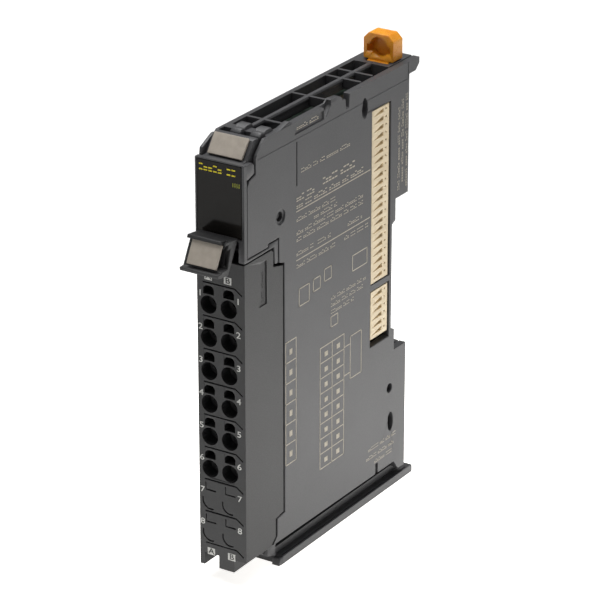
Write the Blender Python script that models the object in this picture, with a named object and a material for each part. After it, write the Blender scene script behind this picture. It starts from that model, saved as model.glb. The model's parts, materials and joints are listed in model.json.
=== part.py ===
# A 12 mm wide slice module for a DIN rail: an analogue output unit with a plug-on
# push-in terminal block.  It is built as its parts come apart on a bench: two case
# halves, the front bezel with its smoked window and marker, the circuit board with
# its bus sockets, the rail hook, and the terminal block with its lock lever and its
# twelve spring clamps.
#
# Lengths are in millimetres up to the point where a mesh is made.  Inside the model
# X runs to the right, Y from the front to the back and Z up, counted from the case's
# mid plane, its front face and its underside.  The empty "module" then moves that
# corner so that the world origin lies in the middle of the rail recess.

import math

import bmesh
import bpy
from mathutils import Matrix, Vector

# ---------------------------------------------------------------- driving dimensions
MM = 0.001
WIDTH = 12.0
HEIGHT = 100.0
DEPTH = 65.2                # front face to the back of the case
WALL = 1.4
GAP = 0.3                   # clearance between neighbouring pieces
FINE_GAP = 0.2              # the same between small pieces

HALF = WIDTH / 2
INNER_LEFT = -HALF + WALL
COVER_INNER = 4.3           # inner face of the right-hand cover
TRAY_RIGHT = COVER_INNER - GAP

RAIL_CENTRE = 51.8          # height of the rail's centre line
RAIL_HEIGHT = 36.0          # the slot that takes the 35 mm rail
RAIL_SEAT = 60.1            # where the rail's flanges rest
RAIL_FLOOR = 58.7           # floor of the recess between the flanges
RAIL_TOP = RAIL_CENTRE + RAIL_HEIGHT / 2
RAIL_BOTTOM = RAIL_CENTRE - RAIL_HEIGHT / 2
RAIL_HAT = 12.7             # half height of the deeper middle of the recess

TOP_GUIDE_BACK = 69.5
TOP_GUIDE_UNDER = 97.2
BOTTOM_GUIDE_BACK = 68.8
BOTTOM_GUIDE_FRONT = 13.8
BOTTOM_GUIDE_TOP = 2.0
SIDE_BOTTOM = 6.2           # lower edge of the side walls

ROW_PITCH = 7.54
ROW_TOP = 64.16             # height of the first wire entry
ROWS = 6
COLUMNS = {"a": -3.02, "b": 1.98}
WIRE_RADIUS = 2.0
WIRE_THROAT = 1.25
WIRE_FUNNEL_DEPTH = 2.6
RELEASE_WIDTH = 2.7
RELEASE_HEIGHT = 2.3
RELEASE_RISE = 3.45         # release hole above its wire entry

BLOCK_HALF = 5.9
BLOCK_BACK = 14.7
BLOCK_TOP = 74.7
BLOCK_CAVITY = 3.6          # front of the clamp cavities
BLOCK_SPLIT = 9.1           # end of the clamp cavities
CARRIER_FRONT = 10.5        # where the contact carrier takes over

BLOCK_PIVOT = (0.0, 9.8, 4.4)
LEVER_PIVOT = (0.0, 6.5, 78.0)

BUS_FRONT = 50.0
BUS_BACK = 57.0
BUS_PITCH = 1.8
SIGNAL_WAYS = 22
POWER_WAYS = 6
SIGNAL_TOP = 93.1
POWER_TOP = 51.0
BUS_REACH = 1.35            # how far the left-hand fingers stand out

BOARD_LEFT = -1.6
BOARD_RIGHT = 0.0
BOARD_FRONT = 18.4

CASE_ORIGIN = (0.0, RAIL_FLOOR, RAIL_CENTRE)

# ------------------------------------------------------------------------ the scene
for old in list(bpy.data.objects):
    bpy.data.objects.remove(old, do_unlink=True)

parts = bpy.data.collections.new("slice_module")
cutters = bpy.data.collections.new("cutters")
bpy.context.scene.collection.children.link(parts)
bpy.context.scene.collection.children.link(cutters)


def make_empty(name, position, parent=None):
    """An empty on a joint axis, or the module's own frame."""
    empty = bpy.data.objects.new(name, None)
    parts.objects.link(empty)
    base = Vector((0, 0, 0))
    if parent:
        empty.parent = parent
        base = Vector(parent["position"])
    empty["position"] = position
    empty.location = (Vector(position) - base) * MM
    return empty


module = make_empty("module", (0.0, 0.0, 0.0))
module.location = -Vector(CASE_ORIGIN) * MM


# ------------------------------------------------------------------------ materials
def linear(channel):
    """One sRGB channel, 0 to 255, as a linear value."""
    value = channel / 255
    return value / 12.92 if value <= 0.04045 else ((value + 0.055) / 1.055) ** 2.4


def material(name, colour, roughness, metallic=0.0):
    """A Principled material from an sRGB hex colour."""
    made = bpy.data.materials.new(name)
    made.use_nodes = True
    shader = made.node_tree.nodes["Principled BSDF"]
    rgb = [linear(int(colour[i:i + 2], 16)) for i in (0, 2, 4)]
    shader.inputs["Base Color"].default_value = (*rgb, 1.0)
    shader.inputs["Roughness"].default_value = roughness
    shader.inputs["Metallic"].default_value = metallic
    made.diffuse_color = (*rgb, 1.0)
    return made


CASE_PLASTIC = material("case_plastic", "3A3A3C", 0.5)
BLOCK_PLASTIC = material("block_plastic", "353536", 0.5)
SMOKED_WINDOW = material("smoked_window", "1E1D1C", 0.15)
MARKER_PLASTIC = material("marker_plastic", "A39C90", 0.6)
HOOK_PLASTIC = material("hook_plastic", "D6861C", 0.4)
SOCKET_PLASTIC = material("socket_plastic", "F3E2C6", 0.45)
CONTACT_GOLD = material("contact_gold", "D9B25A", 0.3, 1.0)
TINNED_COPPER = material("tinned_copper", "B9B6AE", 0.35, 1.0)
SPRING_STEEL = material("spring_steel", "A8A8AA", 0.3, 1.0)
BOARD_LAMINATE = material("board_laminate", "1F5A38", 0.45)
CHIP_RESIN = material("chip_resin", "1B1B1D", 0.6)
FERRITE = material("ferrite", "3B3A3E", 0.7)
CAN_ALUMINIUM = material("can_aluminium", "C6C8CA", 0.3, 1.0)
CERAMIC = material("ceramic", "B79B72", 0.5)
CLEAR_ACRYLIC = material("clear_acrylic", "DDE6E8", 0.1)
LED_RESIN = material("led_resin", "E8F2DA", 0.3)


# ----------------------------------------------------------------------- mesh tools
def place(obj, finish=None, parent=module):
    """Put a mesh that was made in the model's frame under its parent empty."""
    base = Vector(parent["position"]) * MM
    obj.data.transform(Matrix.Translation(-base))
    obj.parent = parent
    if finish:
        obj.data.materials.append(finish)
        parts.objects.link(obj)
    else:
        obj.hide_render = True
        obj.display_type = "WIRE"
        cutters.objects.link(obj)
    return obj


def cube_into(bm, low, high):
    """Add one axis-aligned box between two corners to a bmesh."""
    size = [b - a for a, b in zip(low, high)]
    centre = [(a + b) / 2 for a, b in zip(low, high)]
    fit = Matrix.Translation(Vector(centre) * MM) @ Matrix.Diagonal((*(s * MM for s in size), 1.0))
    bmesh.ops.create_cube(bm, size=1.0, matrix=fit)


def rod_into(bm, start, end, radius, sides=16, end_radius=None):
    """Add one capped cylinder or cone between two points to a bmesh."""
    a = Vector(start) * MM
    b = Vector(end) * MM
    turn = (b - a).to_track_quat("Z", "Y").to_matrix().to_4x4()
    tip = radius if end_radius is None else end_radius
    bmesh.ops.create_cone(bm, cap_ends=True, segments=sides, radius1=radius * MM, radius2=tip * MM,
                          depth=(b - a).length, matrix=Matrix.Translation((a + b) / 2) @ turn)


def mesh_object(name, bm):
    """Turn a bmesh into an object and free it."""
    mesh = bpy.data.meshes.new(name)
    bm.to_mesh(mesh)
    bm.free()
    return bpy.data.objects.new(name, mesh)


def boxes(name, corners, finish=None, parent=module):
    """Separate boxes in one object, from a list of (low, high) corners."""
    bm = bmesh.new()
    for low, high in corners:
        cube_into(bm, low, high)
    return place(mesh_object(name, bm), finish, parent)


def rods(name, runs, finish=None, parent=module, sides=16):
    """Separate cylinders or cones in one object, from (start, end, radius[, radius])."""
    bm = bmesh.new()
    for run in runs:
        rod_into(bm, run[0], run[1], run[2], sides, run[3] if len(run) > 3 else None)
    made = place(mesh_object(name, bm), finish, parent)
    made.data.shade_smooth()
    made.data.set_sharp_from_angle(angle=math.radians(40))
    return made


def sheets(name, outlines, finish=None, parent=module):
    """Separate flat plates in one object, from (outline in Y and Z, low X, high X).

    Each outline is a filled 2D curve that is extruded by half its thickness each way."""
    bm = bmesh.new()
    for outline, low, high in outlines:
        curve = bpy.data.curves.new("outline", "CURVE")
        curve.dimensions = "2D"
        curve.fill_mode = "BOTH"
        curve.extrude = (high - low) / 2 * MM
        spline = curve.splines.new("POLY")
        spline.points.add(len(outline) - 1)
        for point, (y, z) in zip(spline.points, outline):
            point.co = (y * MM, z * MM, 0.0, 1.0)
        spline.use_cyclic_u = True
        shape = bpy.data.objects.new("outline", curve)
        bpy.context.scene.collection.objects.link(shape)
        graph = bpy.context.evaluated_depsgraph_get()
        mesh = bpy.data.meshes.new_from_object(shape.evaluated_get(graph))
        # the curve's own X, Y and Z become the model's Y, Z and X
        stand = Matrix(((0, 0, 1, 0), (1, 0, 0, 0), (0, 1, 0, 0), (0, 0, 0, 1)))
        mesh.transform(Matrix.Translation(((low + high) / 2 * MM, 0, 0)) @ stand)
        bm.from_mesh(mesh)
        bpy.data.objects.remove(shape)
        bpy.data.curves.remove(curve)
        bpy.data.meshes.remove(mesh)
    bmesh.ops.remove_doubles(bm, verts=bm.verts, dist=0.00001)
    bmesh.ops.dissolve_limit(bm, angle_limit=math.radians(0.5), verts=bm.verts, edges=bm.edges)
    bmesh.ops.recalc_face_normals(bm, faces=bm.faces)
    return place(mesh_object(name, bm), finish, parent)


def combine(target, tool, operation):
    """Cut a tool object out of the target, or join it on."""
    change = target.modifiers.new(tool.name, "BOOLEAN")
    change.operation = operation
    change.solver = "EXACT"
    change.object = tool


def cut(target, *tools):
    for tool in tools:
        combine(target, tool, "DIFFERENCE")


def join(target, *tools):
    for tool in tools:
        combine(target, tool, "UNION")


def row_heights():
    """Heights of the wire entries, from the top row down."""
    return [ROW_TOP - ROW_PITCH * row for row in range(ROWS)]


def poles():
    """Name, X and Z of each of the clamping points."""
    return [(f"{column}{row + 1}", x, z)
            for column, x in COLUMNS.items() for row, z in enumerate(row_heights())]


def ways(top, count):
    """Heights of the middle of each bus contact."""
    return [top - BUS_PITCH * (way + 0.65) for way in range(count)]


# ---------------------------------------------------------------------- side outline
BACK_EDGE = [(TOP_GUIDE_BACK, HEIGHT), (TOP_GUIDE_BACK, HEIGHT - 1.4),
             (TOP_GUIDE_BACK - 1.5, TOP_GUIDE_UNDER), (DEPTH, TOP_GUIDE_UNDER),
             (DEPTH, RAIL_TOP), (RAIL_SEAT, RAIL_TOP),
             (RAIL_SEAT, RAIL_CENTRE + RAIL_HAT + 0.3), (RAIL_FLOOR, RAIL_CENTRE + RAIL_HAT - 0.3),
             (RAIL_FLOOR, RAIL_CENTRE - RAIL_HAT + 0.3), (RAIL_SEAT, RAIL_CENTRE - RAIL_HAT - 0.3),
             (RAIL_SEAT, RAIL_BOTTOM), (DEPTH, RAIL_BOTTOM)]

# the front edge of both side walls, from the top down: past the bezel's ear and
# shelf and round the terminal block
FRONT_EDGE = [(7.6, HEIGHT), (4.8, 97.3), (4.3, 96.4), (4.3, 93.3), (1.9, 92.6), (1.2, 91.6),
              (1.2, 75.9), (8.9, 75.9), (8.9, 76.6), (13.1, 76.6), (13.1, 70.9),
              (15.1, 70.3), (15.1, 12.3), (12.1, 11.9), (12.1, 7.9),
              (10.4, SIDE_BOTTOM)]
SIDE_OUTLINE = FRONT_EDGE + [(60.6, SIDE_BOTTOM - 0.4), (62.4, 3.4), (DEPTH, 3.2)] + BACK_EDGE[::-1]

# the tray runs on down to the bottom guide rail
BOTTOM_EDGE = [(12.5, SIDE_BOTTOM), (12.5, BOTTOM_GUIDE_TOP + 0.6),
               (BOTTOM_GUIDE_FRONT + 0.8, BOTTOM_GUIDE_TOP + 0.4), (BOTTOM_GUIDE_FRONT, 0.0),
               (BOTTOM_GUIDE_BACK, 0.0), (BOTTOM_GUIDE_BACK, 1.6),
               (BOTTOM_GUIDE_BACK - 0.5, BOTTOM_GUIDE_TOP), (DEPTH, BOTTOM_GUIDE_TOP)]
TRAY_OUTLINE = FRONT_EDGE + BOTTOM_EDGE + BACK_EDGE[::-1]

# what is open in front of the tray, to the right of its left wall: room for the
# bezel at the top and the terminal block below
BAY_OUTLINE = [(-1.0, HEIGHT + 1), (9.5, HEIGHT + 1), (9.5, 77.0), (13.3, 77.0), (13.3, 71.0),
               (15.3, 70.7), (15.3, 12.2), (12.5, 11.9), (12.5, -1.0), (-1.0, -1.0)]

TRAY_FLOOR = 3.6
TRAY_CEILING = 97.8
CAVITY_OUTLINE = [(7.0, TRAY_CEILING), (7.0, 79.6), (15.2, 78.4), (16.9, 76.4), (16.9, 13.0), (13.9, 10.6),
                  (13.9, TRAY_FLOOR), (63.8, TRAY_FLOOR), (63.8, 32.3), (58.8, 32.3), (58.8, 37.6),
                  (57.3, 38.4), (57.3, 65.2), (58.8, 66.0), (58.8, TRAY_CEILING)]

BOSSES = [(13.7, 81.0), (58.3, 25.0)]
BOSS_RADIUS = 1.5
STUD_RADIUS = 0.75
STUD_HOLE = 1.1
VENT_RIBS = [17.6, 34.8, 48.2, 53.0]
VENT_START = 11.6
VENT_END = 60.0
VENT_LEFT = (-4.7, -1.3)
VENT_RIGHT = (-0.3, 4.4)
VENT_RIB = 0.8
BOTTOM_VENT_RIBS = [30.0, 43.0, 53.0]
BOTTOM_VENT_START = 20.0
BOTTOM_VENT_END = 62.0
BOTTOM_VENT_RIGHT = (-0.3, 3.0)


def vent_slots(ribs, start, end, rows, low, high):
    """Boxes for the ventilation comb between its cross ribs."""
    edges = [start, *ribs, end]
    slots = []
    for left, right in rows:
        for front, back in zip(edges, edges[1:]):
            slots.append(((left, front + VENT_RIB / 2, low), (right, back - VENT_RIB / 2, high)))
    return slots


def bus_windows(low_x, high_x):
    """The two openings in a side wall that the bus connectors look through."""
    return [((low_x, BUS_FRONT - 0.3, SIGNAL_TOP - 40.4), (high_x, BUS_BACK + 0.7, SIGNAL_TOP + 0.2)),
            ((low_x, BUS_FRONT - 0.3, 37.9), (high_x, BUS_BACK + 0.7, POWER_TOP + 0.3))]


# -------------------------------------------------------------------------- the case
HOOK_HALF = 2.6
HOOK_FRONT = 61.5
HOOK_BACK = 63.9


def make_case_left():
    """The tray: left wall, ventilation comb, back, guides, rail recess and lower rail hook."""
    case = sheets("case_left", [(TRAY_OUTLINE, -HALF, HALF)], CASE_PLASTIC)
    cut(case,
        boxes("cover_room", [((TRAY_RIGHT, -1.0, BOTTOM_GUIDE_TOP - 0.1), (HALF + 1, 75.0, HEIGHT + 1))]),
        sheets("front_bay", [(BAY_OUTLINE, INNER_LEFT + 0.05, HALF + 1)]),
        sheets("tray_cavity", [(CAVITY_OUTLINE, INNER_LEFT, TRAY_RIGHT + 1)]))
    lower_hook = [(61.3, RAIL_BOTTOM - 1), (64.6, RAIL_BOTTOM - 1), (63.4, 35.3), (62.2, 36.4), (61.3, 36.4)]
    lug = [(BLOCK_PIVOT[1], 3.4), (13.0, 2.4), (13.0, 6.0), (BLOCK_PIVOT[1], 5.4)]
    join(case,
         sheets("lower_rail_hook", [(lower_hook, -3.0, 2.4)]),
         sheets("pivot_lugs", [(lug, -4.3, -1.6), (lug, 3.1, 4.9)]),
         rods("pivot_bar", [((-4.0, *BLOCK_PIVOT[1:]), (4.0, *BLOCK_PIVOT[1:]), 0.7)]),
         rods("bosses", [((INNER_LEFT - 0.5, y, z), (TRAY_RIGHT - 0.1, y, z), BOSS_RADIUS)
                         for y, z in BOSSES]),
         rods("boss_studs", [((TRAY_RIGHT - 1, y, z), (HALF - 0.9, y, z), STUD_RADIUS) for y, z in BOSSES]))
    cut(case,
        boxes("top_vents", vent_slots(VENT_RIBS, VENT_START, VENT_END, (VENT_LEFT, VENT_RIGHT),
                                      TRAY_CEILING - 1, HEIGHT + 1)),
        boxes("bottom_vents", vent_slots(BOTTOM_VENT_RIBS, BOTTOM_VENT_START, BOTTOM_VENT_END,
                                         (VENT_LEFT, BOTTOM_VENT_RIGHT), -1, TRAY_FLOOR + 1)),
        boxes("header_window", [((-4.3, 12.0, 21.5), (TRAY_RIGHT - 0.4, 18.0, 69.3))]),
        boxes("left_bus_window", bus_windows(-HALF - 1, INNER_LEFT + 0.5)),
        boxes("hook_channel", [((-HOOK_HALF - GAP, HOOK_FRONT - GAP, RAIL_TOP - 1),
                                (HOOK_HALF + GAP, HOOK_BACK + GAP, HEIGHT + 1))]),
        boxes("holder_room_left", [((-5.2, 0.0, 95.1), (INNER_LEFT + 1, 9.6, HEIGHT + 1))]))
    return case


LENS_CENTRE = (46.8, 94.8)
LENS_HALF = (0.8, 2.2)
LENS_DROP = (12.0, -78.2)   # from the upper catch slot to the lower one


def lens_outline(centre):
    """A pointed oval with four straight sides at each end."""
    y, z = centre
    wide, tall = LENS_HALF
    quarter = [(-1.0, 0.0), (-0.6, 0.64), (0.0, 1.0), (0.6, 0.64)]
    turns = quarter + [(-across, -along) for across, along in quarter]
    return [(y + wide * across, z + tall * along) for across, along in turns]


def make_case_right():
    """The right-hand cover, a plate with the bus windows and the catches of the next module."""
    cover = sheets("case_right", [(SIDE_OUTLINE, COVER_INNER, HALF)], CASE_PLASTIC)
    lens = lens_outline(LENS_CENTRE)
    lower_lens = lens_outline((LENS_CENTRE[0] + LENS_DROP[0], LENS_CENTRE[1] + LENS_DROP[1]))
    catch = [(37.6, HEIGHT + 1), (37.6, 99.5), (39.1, 99.2), (39.3, 97.0),
             (40.4, 97.0), (40.6, 99.3), (40.6, HEIGHT + 1)]
    cut(cover,
        boxes("right_bus_window", bus_windows(COVER_INNER - 1, HALF + 1)),
        sheets("catch_slots", [(lens, COVER_INNER - 1, HALF + 1), (lower_lens, COVER_INNER - 1, HALF + 1),
                               (catch, COVER_INNER - 1, HALF + 1)]),
        rods("stud_holes", [((COVER_INNER - 1, y, z), (HALF + 1, y, z), STUD_HOLE) for y, z in BOSSES]),
        boxes("holder_room_right", [((COVER_INNER - 1, 0.0, 95.1), (5.25, 9.6, HEIGHT + 1))]),
        boxes("corner_slot", [((COVER_INNER - 1, 52.6, 4.0), (HALF + 1, 53.6, 8.4))]))
    return cover


# --------------------------------------------------------------------- the front end
WINDOW_LOW = 80.35
WINDOW_HIGH = 96.05
MARKER_FOOT = (2.35, 96.45)         # lower edge of the upper marker's slope
MARKER_HEAD = (5.25, 100.3)


def make_front_bezel():
    """The front frame with its light box, shelf, ears and marker holder."""
    ring = boxes("front_bezel", [((-HALF, 0.0, 75.0), (HALF, 1.0, 96.5))], CASE_PLASTIC)
    shelf = [(0.6, 75.05), (11.3, 75.05), (11.5, 71.1), (12.8, 71.1),
             (12.8, 76.3), (9.2, 76.3), (9.2, 75.65), (0.6, 75.65)]
    ear = [(0.5, 92.9), (1.9, 93.0), (4.0, 93.7), (4.0, 95.6), (3.1, 96.3), (0.5, 96.3)]
    holder = [(0.6, 95.4), (0.6, 96.4), MARKER_FOOT, MARKER_HEAD, (6.9, 100.3), (9.0, 97.4), (9.0, 95.4)]
    outer = HALF - 0.05
    join(ring,
         boxes("light_box", [((-4.3, 0.5, 79.8), (TRAY_RIGHT, 6.8, 96.0))]),
         sheets("shelves", [(shelf, -outer, -4.6), (shelf, 4.6, outer)]),
         sheets("ears", [(ear, -outer, -4.7), (ear, 4.7, outer)]),
         sheets("marker_holder", [(holder, -4.9, 4.9)]))
    cut(ring,
        boxes("window_opening", [((-5.65, -1.0, WINDOW_LOW - 0.15), (5.45, 0.75, WINDOW_HIGH + 0.15))]),
        boxes("light_box_inside", [((-3.6, 0.3, 80.7), (3.3, 8.0, 95.0))]),
        boxes("lever_opening", [((-4.45, -1.0, 74.0), (4.45, 2.0, 79.6))]))
    return ring


def slope_plate(name, foot, head, half_width, thickness, lift, finish, parent=module, trim=0.0):
    """A flat plate that lies on a slope between two points of the side view."""
    foot = Vector((0, *foot))
    head = Vector((0, *head))
    along = (head - foot).normalized()
    out = Vector((0, -along.z, along.y))
    low = foot + along * trim + out * lift
    high = head - along * trim + out * lift
    outline = [(p.y, p.z) for p in (low, high, high + out * thickness, low + out * thickness)]
    return sheets(name, [(outline, -half_width, half_width)], finish, parent)


def make_front_parts():
    """Smoked window, upper marker, light guide and indicator."""
    boxes("display_window", [((-5.5, 0.0, WINDOW_LOW), (5.3, 0.65, WINDOW_HIGH))], SMOKED_WINDOW)
    slope_plate("unit_marker", MARKER_FOOT, MARKER_HEAD, 4.2, 0.6, 0.15, MARKER_PLASTIC, trim=0.05)
    guide = boxes("light_guide", [((-2.6, 1.2, 92.4), (2.6, 2.4, 94.6))], CLEAR_ACRYLIC)
    join(guide, boxes("light_guide_stem", [((-1.2, 2.0, 92.9), (0.4, 16.6, 94.1))]))
    boxes("status_led", [((-1.4, 17.0, 92.7), (0.2, 18.1, 94.3))], LED_RESIN)


# ------------------------------------------------------------------------- the board
def make_board():
    """The circuit board and what is soldered to it, all in the tray."""
    outline = [(BOARD_FRONT, 5.0), (BOARD_FRONT, 96.6), (BUS_BACK, 96.6),
               (BUS_BACK, 31.0), (62.6, 31.0), (62.6, 5.0)]
    board = sheets("main_board", [(outline, BOARD_LEFT, BOARD_RIGHT)], BOARD_LAMINATE)
    boss_y, boss_z = BOSSES[1]
    hole = ((BOARD_LEFT - 1, boss_y, boss_z), (BOARD_RIGHT + 1, boss_y, boss_z), BOSS_RADIUS + GAP)
    cut(board, rods("board_hole", [hole]))
    face = BOARD_RIGHT + FINE_GAP
    back = BOARD_LEFT - FINE_GAP
    boxes("controller_chip", [((face, 27.0, 60.0), (face + 1.4, 36.0, 69.0))], CHIP_RESIN)
    boxes("converter_chip", [((face, 24.0, 42.0), (face + 1.2, 30.0, 48.0))], CHIP_RESIN)
    for number, z in enumerate((27.0, 38.0, 49.0), 1):
        boxes(f"isolator_chip_{number}", [((face, 36.0, z), (face + 1.5, 42.0, z + 7.5))], CHIP_RESIN)
    for number, z in enumerate((30.0, 52.0), 1):
        boxes(f"output_amplifier_{number}", [((face, 22.0, z), (face + 1.2, 27.0, z + 4.0))], CHIP_RESIN)
    boxes("isolation_transformer", [((face, 33.0, 80.0), (face + 3.4, 42.0, 90.0))], FERRITE)
    boxes("power_inductor", [((face, 23.0, 82.0), (face + 2.8, 29.0, 88.0))], FERRITE)
    for number, (y, z) in enumerate(((25.0, 74.0), (31.0, 74.0), (44.0, 20.0), (50.0, 20.0)), 1):
        rods(f"smoothing_capacitor_{number}", [((face, y, z), (face + 3.5, y, z), 2.0)], CAN_ALUMINIUM)
    for number, z in enumerate((28.0, 46.0, 64.0), 1):
        boxes(f"filter_capacitor_{number}", [((back - 1.4, 28.0, z), (back, 31.2, z + 2.5))], CERAMIC)


WAY_SLOT = 0.5              # half height of a contact slot
WAY_HALF = 0.28             # half height of a contact
STRIP_HALF = 0.5            # half depth of the strip that joins the contacts
CHANNEL_HALF = 0.8          # half depth of the channel that the strip lies in
FINGER_CREST = 0.35         # share of a finger's depth that its crest keeps


def make_socket(name, top, low, heights, middle):
    """The ivory socket on the right and its gilt contacts."""
    strip = (heights[-1] - WAY_HALF, heights[0] + WAY_HALF)
    body = ((BOARD_RIGHT + FINE_GAP, BUS_FRONT, low), (HALF - 0.1, BUS_BACK, top))
    socket = boxes(f"bus_socket_{name}", [body], SOCKET_PLASTIC)
    slots = [((3.2, BUS_FRONT + 0.7, z - WAY_SLOT), (HALF + 1, BUS_BACK - 1.3, z + WAY_SLOT))
             for z in heights]
    channel = ((2.4, middle - CHANNEL_HALF, strip[0] - 0.2), (3.5, middle + CHANNEL_HALF, strip[1] + 0.2))
    cut(socket, boxes(f"socket_slots_{name}", slots), boxes(f"socket_channel_{name}", [channel]))
    roots = [((2.8, middle - STRIP_HALF, z - WAY_HALF), (4.3, middle + STRIP_HALF, z + WAY_HALF))
             for z in heights]
    blades = [((3.6, BUS_FRONT + 1.2, z - 0.3), (4.4, BUS_BACK - 1.6, z + 0.3)) for z in heights]
    spine = ((2.6, middle - STRIP_HALF, strip[0]), (3.0, middle + STRIP_HALF, strip[1]))
    contacts = boxes(f"socket_contacts_{name}", roots, CONTACT_GOLD)
    join(contacts, boxes(f"socket_blades_{name}", blades), boxes(f"socket_strip_{name}", [spine]))


def make_plug(name, top, low, heights, middle):
    """The ivory plug on the left and the spring fingers that stand out of it."""
    strip = (heights[-1] - WAY_HALF, heights[0] + WAY_HALF)
    body = ((-HALF + 0.1, BUS_FRONT, low), (BOARD_LEFT - FINE_GAP, BUS_BACK, top))
    plug = boxes(f"bus_plug_{name}", [body], SOCKET_PLASTIC)
    slots = [((-HALF - 1, BUS_FRONT + 0.5, z - WAY_SLOT), (-2.8, BUS_BACK - 0.5, z + WAY_SLOT))
             for z in heights]
    channel = ((-5.2, middle - CHANNEL_HALF, strip[0] - 0.2), (-2.7, middle + CHANNEL_HALF, strip[1] + 0.2))
    cut(plug, boxes(f"plug_slots_{name}", slots), boxes(f"plug_channel_{name}", [channel]))
    joint = make_empty(f"{name}_finger_slide", (-HALF, middle, (low + top) / 2), module)
    bm = bmesh.new()
    for z in heights:
        start = len(bm.verts)
        tip = -HALF - BUS_REACH
        cube_into(bm, (tip, BUS_FRONT + 0.9, z - WAY_HALF), (-4.4, BUS_BACK - 0.9, z + WAY_HALF))
        bm.verts.ensure_lookup_table()
        for vert in bm.verts[start:]:
            # the finger's nose narrows to a short crest
            if vert.co.x < -HALF * MM:
                vert.co.y = middle * MM + (vert.co.y - middle * MM) * FINGER_CREST
    fingers = place(mesh_object(f"bus_fingers_{name}", bm), CONTACT_GOLD, joint)
    spine = ((-4.8, middle - STRIP_HALF, strip[0]), (-4.0, middle + STRIP_HALF, strip[1]))
    join(fingers, boxes(f"finger_strip_{name}", [spine]))


def make_bus_connector(name, top, count):
    """One bus connection through the module: socket on the right, plug on the left."""
    heights = ways(top, count)
    low = top - BUS_PITCH * (count + 0.3)
    middle = (BUS_FRONT + BUS_BACK) / 2
    make_socket(name, top, low, heights, middle)
    make_plug(name, top, low, heights, middle)


PIN_HALF = 0.35


def make_terminal_header():
    """The pin header behind the terminal block, with its two columns of pins."""
    heights = row_heights()
    low = heights[-1] - 3.5
    high = heights[0] + 3.5
    header = boxes("terminal_header", [((-4.0, 15.5, low), (3.4, 17.6, high))], CHIP_RESIN)
    half = PIN_HALF
    holes = [((x - half - 0.25, 15.0, z - half - 0.35), (x + half + 0.25, 18.0, z + half + 0.35))
             for _, x, z in poles()]
    cut(header, boxes("header_holes", holes))
    # each pin's tail turns towards the face of the board that it is soldered to
    turn = {"a": (COLUMNS["a"] - half, BOARD_LEFT - FINE_GAP),
            "b": (BOARD_RIGHT + FINE_GAP, COLUMNS["b"] + half)}
    for column, x in COLUMNS.items():
        blades = [((x - half, 11.2, z - half - 0.1), (x + half, 19.8, z + half + 0.1)) for z in heights]
        tails = [((turn[column][0], 19.2, z - half), (turn[column][1], 20.6, z + half)) for z in heights]
        spine = ((x - 0.2, 17.9, heights[-1]), (x + 0.2, 18.4, heights[0]))
        pins = boxes(f"header_pins_{column}", blades, TINNED_COPPER)
        join(pins, boxes(f"pin_tails_{column}", tails), boxes(f"pin_strip_{column}", [spine]))


# --------------------------------------------------------------------- the rail hook
def make_din_hook():
    """The orange slider: pull tab on top, stem in the back of the case, rail lip below."""
    slide = make_empty("din_hook_slide", (0.0, HOOK_FRONT, HEIGHT), module)
    lip = [(HOOK_FRONT, 67.2), (62.6, 67.2), (HOOK_BACK, 69.6),
           (HOOK_BACK, HEIGHT + 1.4), (HOOK_FRONT, HEIGHT + 1.4)]
    hook = sheets("din_hook", [(lip, -HOOK_HALF, HOOK_HALF)], HOOK_PLASTIC, slide)
    tab_front = 62.0
    tab_back = 65.9
    chamfer = 1.3
    low = HEIGHT + GAP
    high = HEIGHT + 6.9
    bm = bmesh.new()
    cube_into(bm, (-3.6, tab_front, low), (3.6, tab_back, high))
    upper = [e for e in bm.edges if all(v.co.z > (high - 0.1) * MM for v in e.verts)
             and abs(e.verts[0].co.x - e.verts[1].co.x) < 0.0001]
    bmesh.ops.bevel(bm, geom=upper, offset=chamfer * MM, segments=1, affect="EDGES")
    join(hook, place(mesh_object("pull_tab", bm), None))
    pocket = [((-2.5, tab_front - 1, low + 1.6), (2.5, tab_back - 0.9, low + 3.0))]
    cut(hook, boxes("tool_slot", pocket),
        rods("tool_arch", [((0.0, tab_front - 1, low + 3.0), (0.0, tab_back - 0.9, low + 3.0), 2.3)],
             sides=24))
    return hook


# ---------------------------------------------------------------- the terminal block
block_pivot = make_empty("terminal_block_pivot", BLOCK_PIVOT, module)
BLOCK_OUTLINE = [(0.0, 6.3), (9.6, 6.1), (11.6, 7.8), (11.6, 12.0), (BLOCK_BACK, 12.6), (BLOCK_BACK, 69.9),
                 (11.0, 70.7), (11.0, BLOCK_TOP - 0.7), (10.4, BLOCK_TOP), (0.0, BLOCK_TOP)]


def block_legs():
    """The feet that hook over the pivot bar, as side-view outlines with their X span."""
    heel = [(0.0, 6.8), (0.0, 3.3), (8.3, 3.3), (8.75, 4.0), (8.75, 5.0), (9.3, 5.5), (9.3, 6.8)]
    toe = [(0.0, 6.8), (0.0, 3.3), (7.0, 3.3), (8.0, 6.8)]
    return [(toe, -BLOCK_HALF, -4.75), (heel, -1.1, 2.8)]


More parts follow.
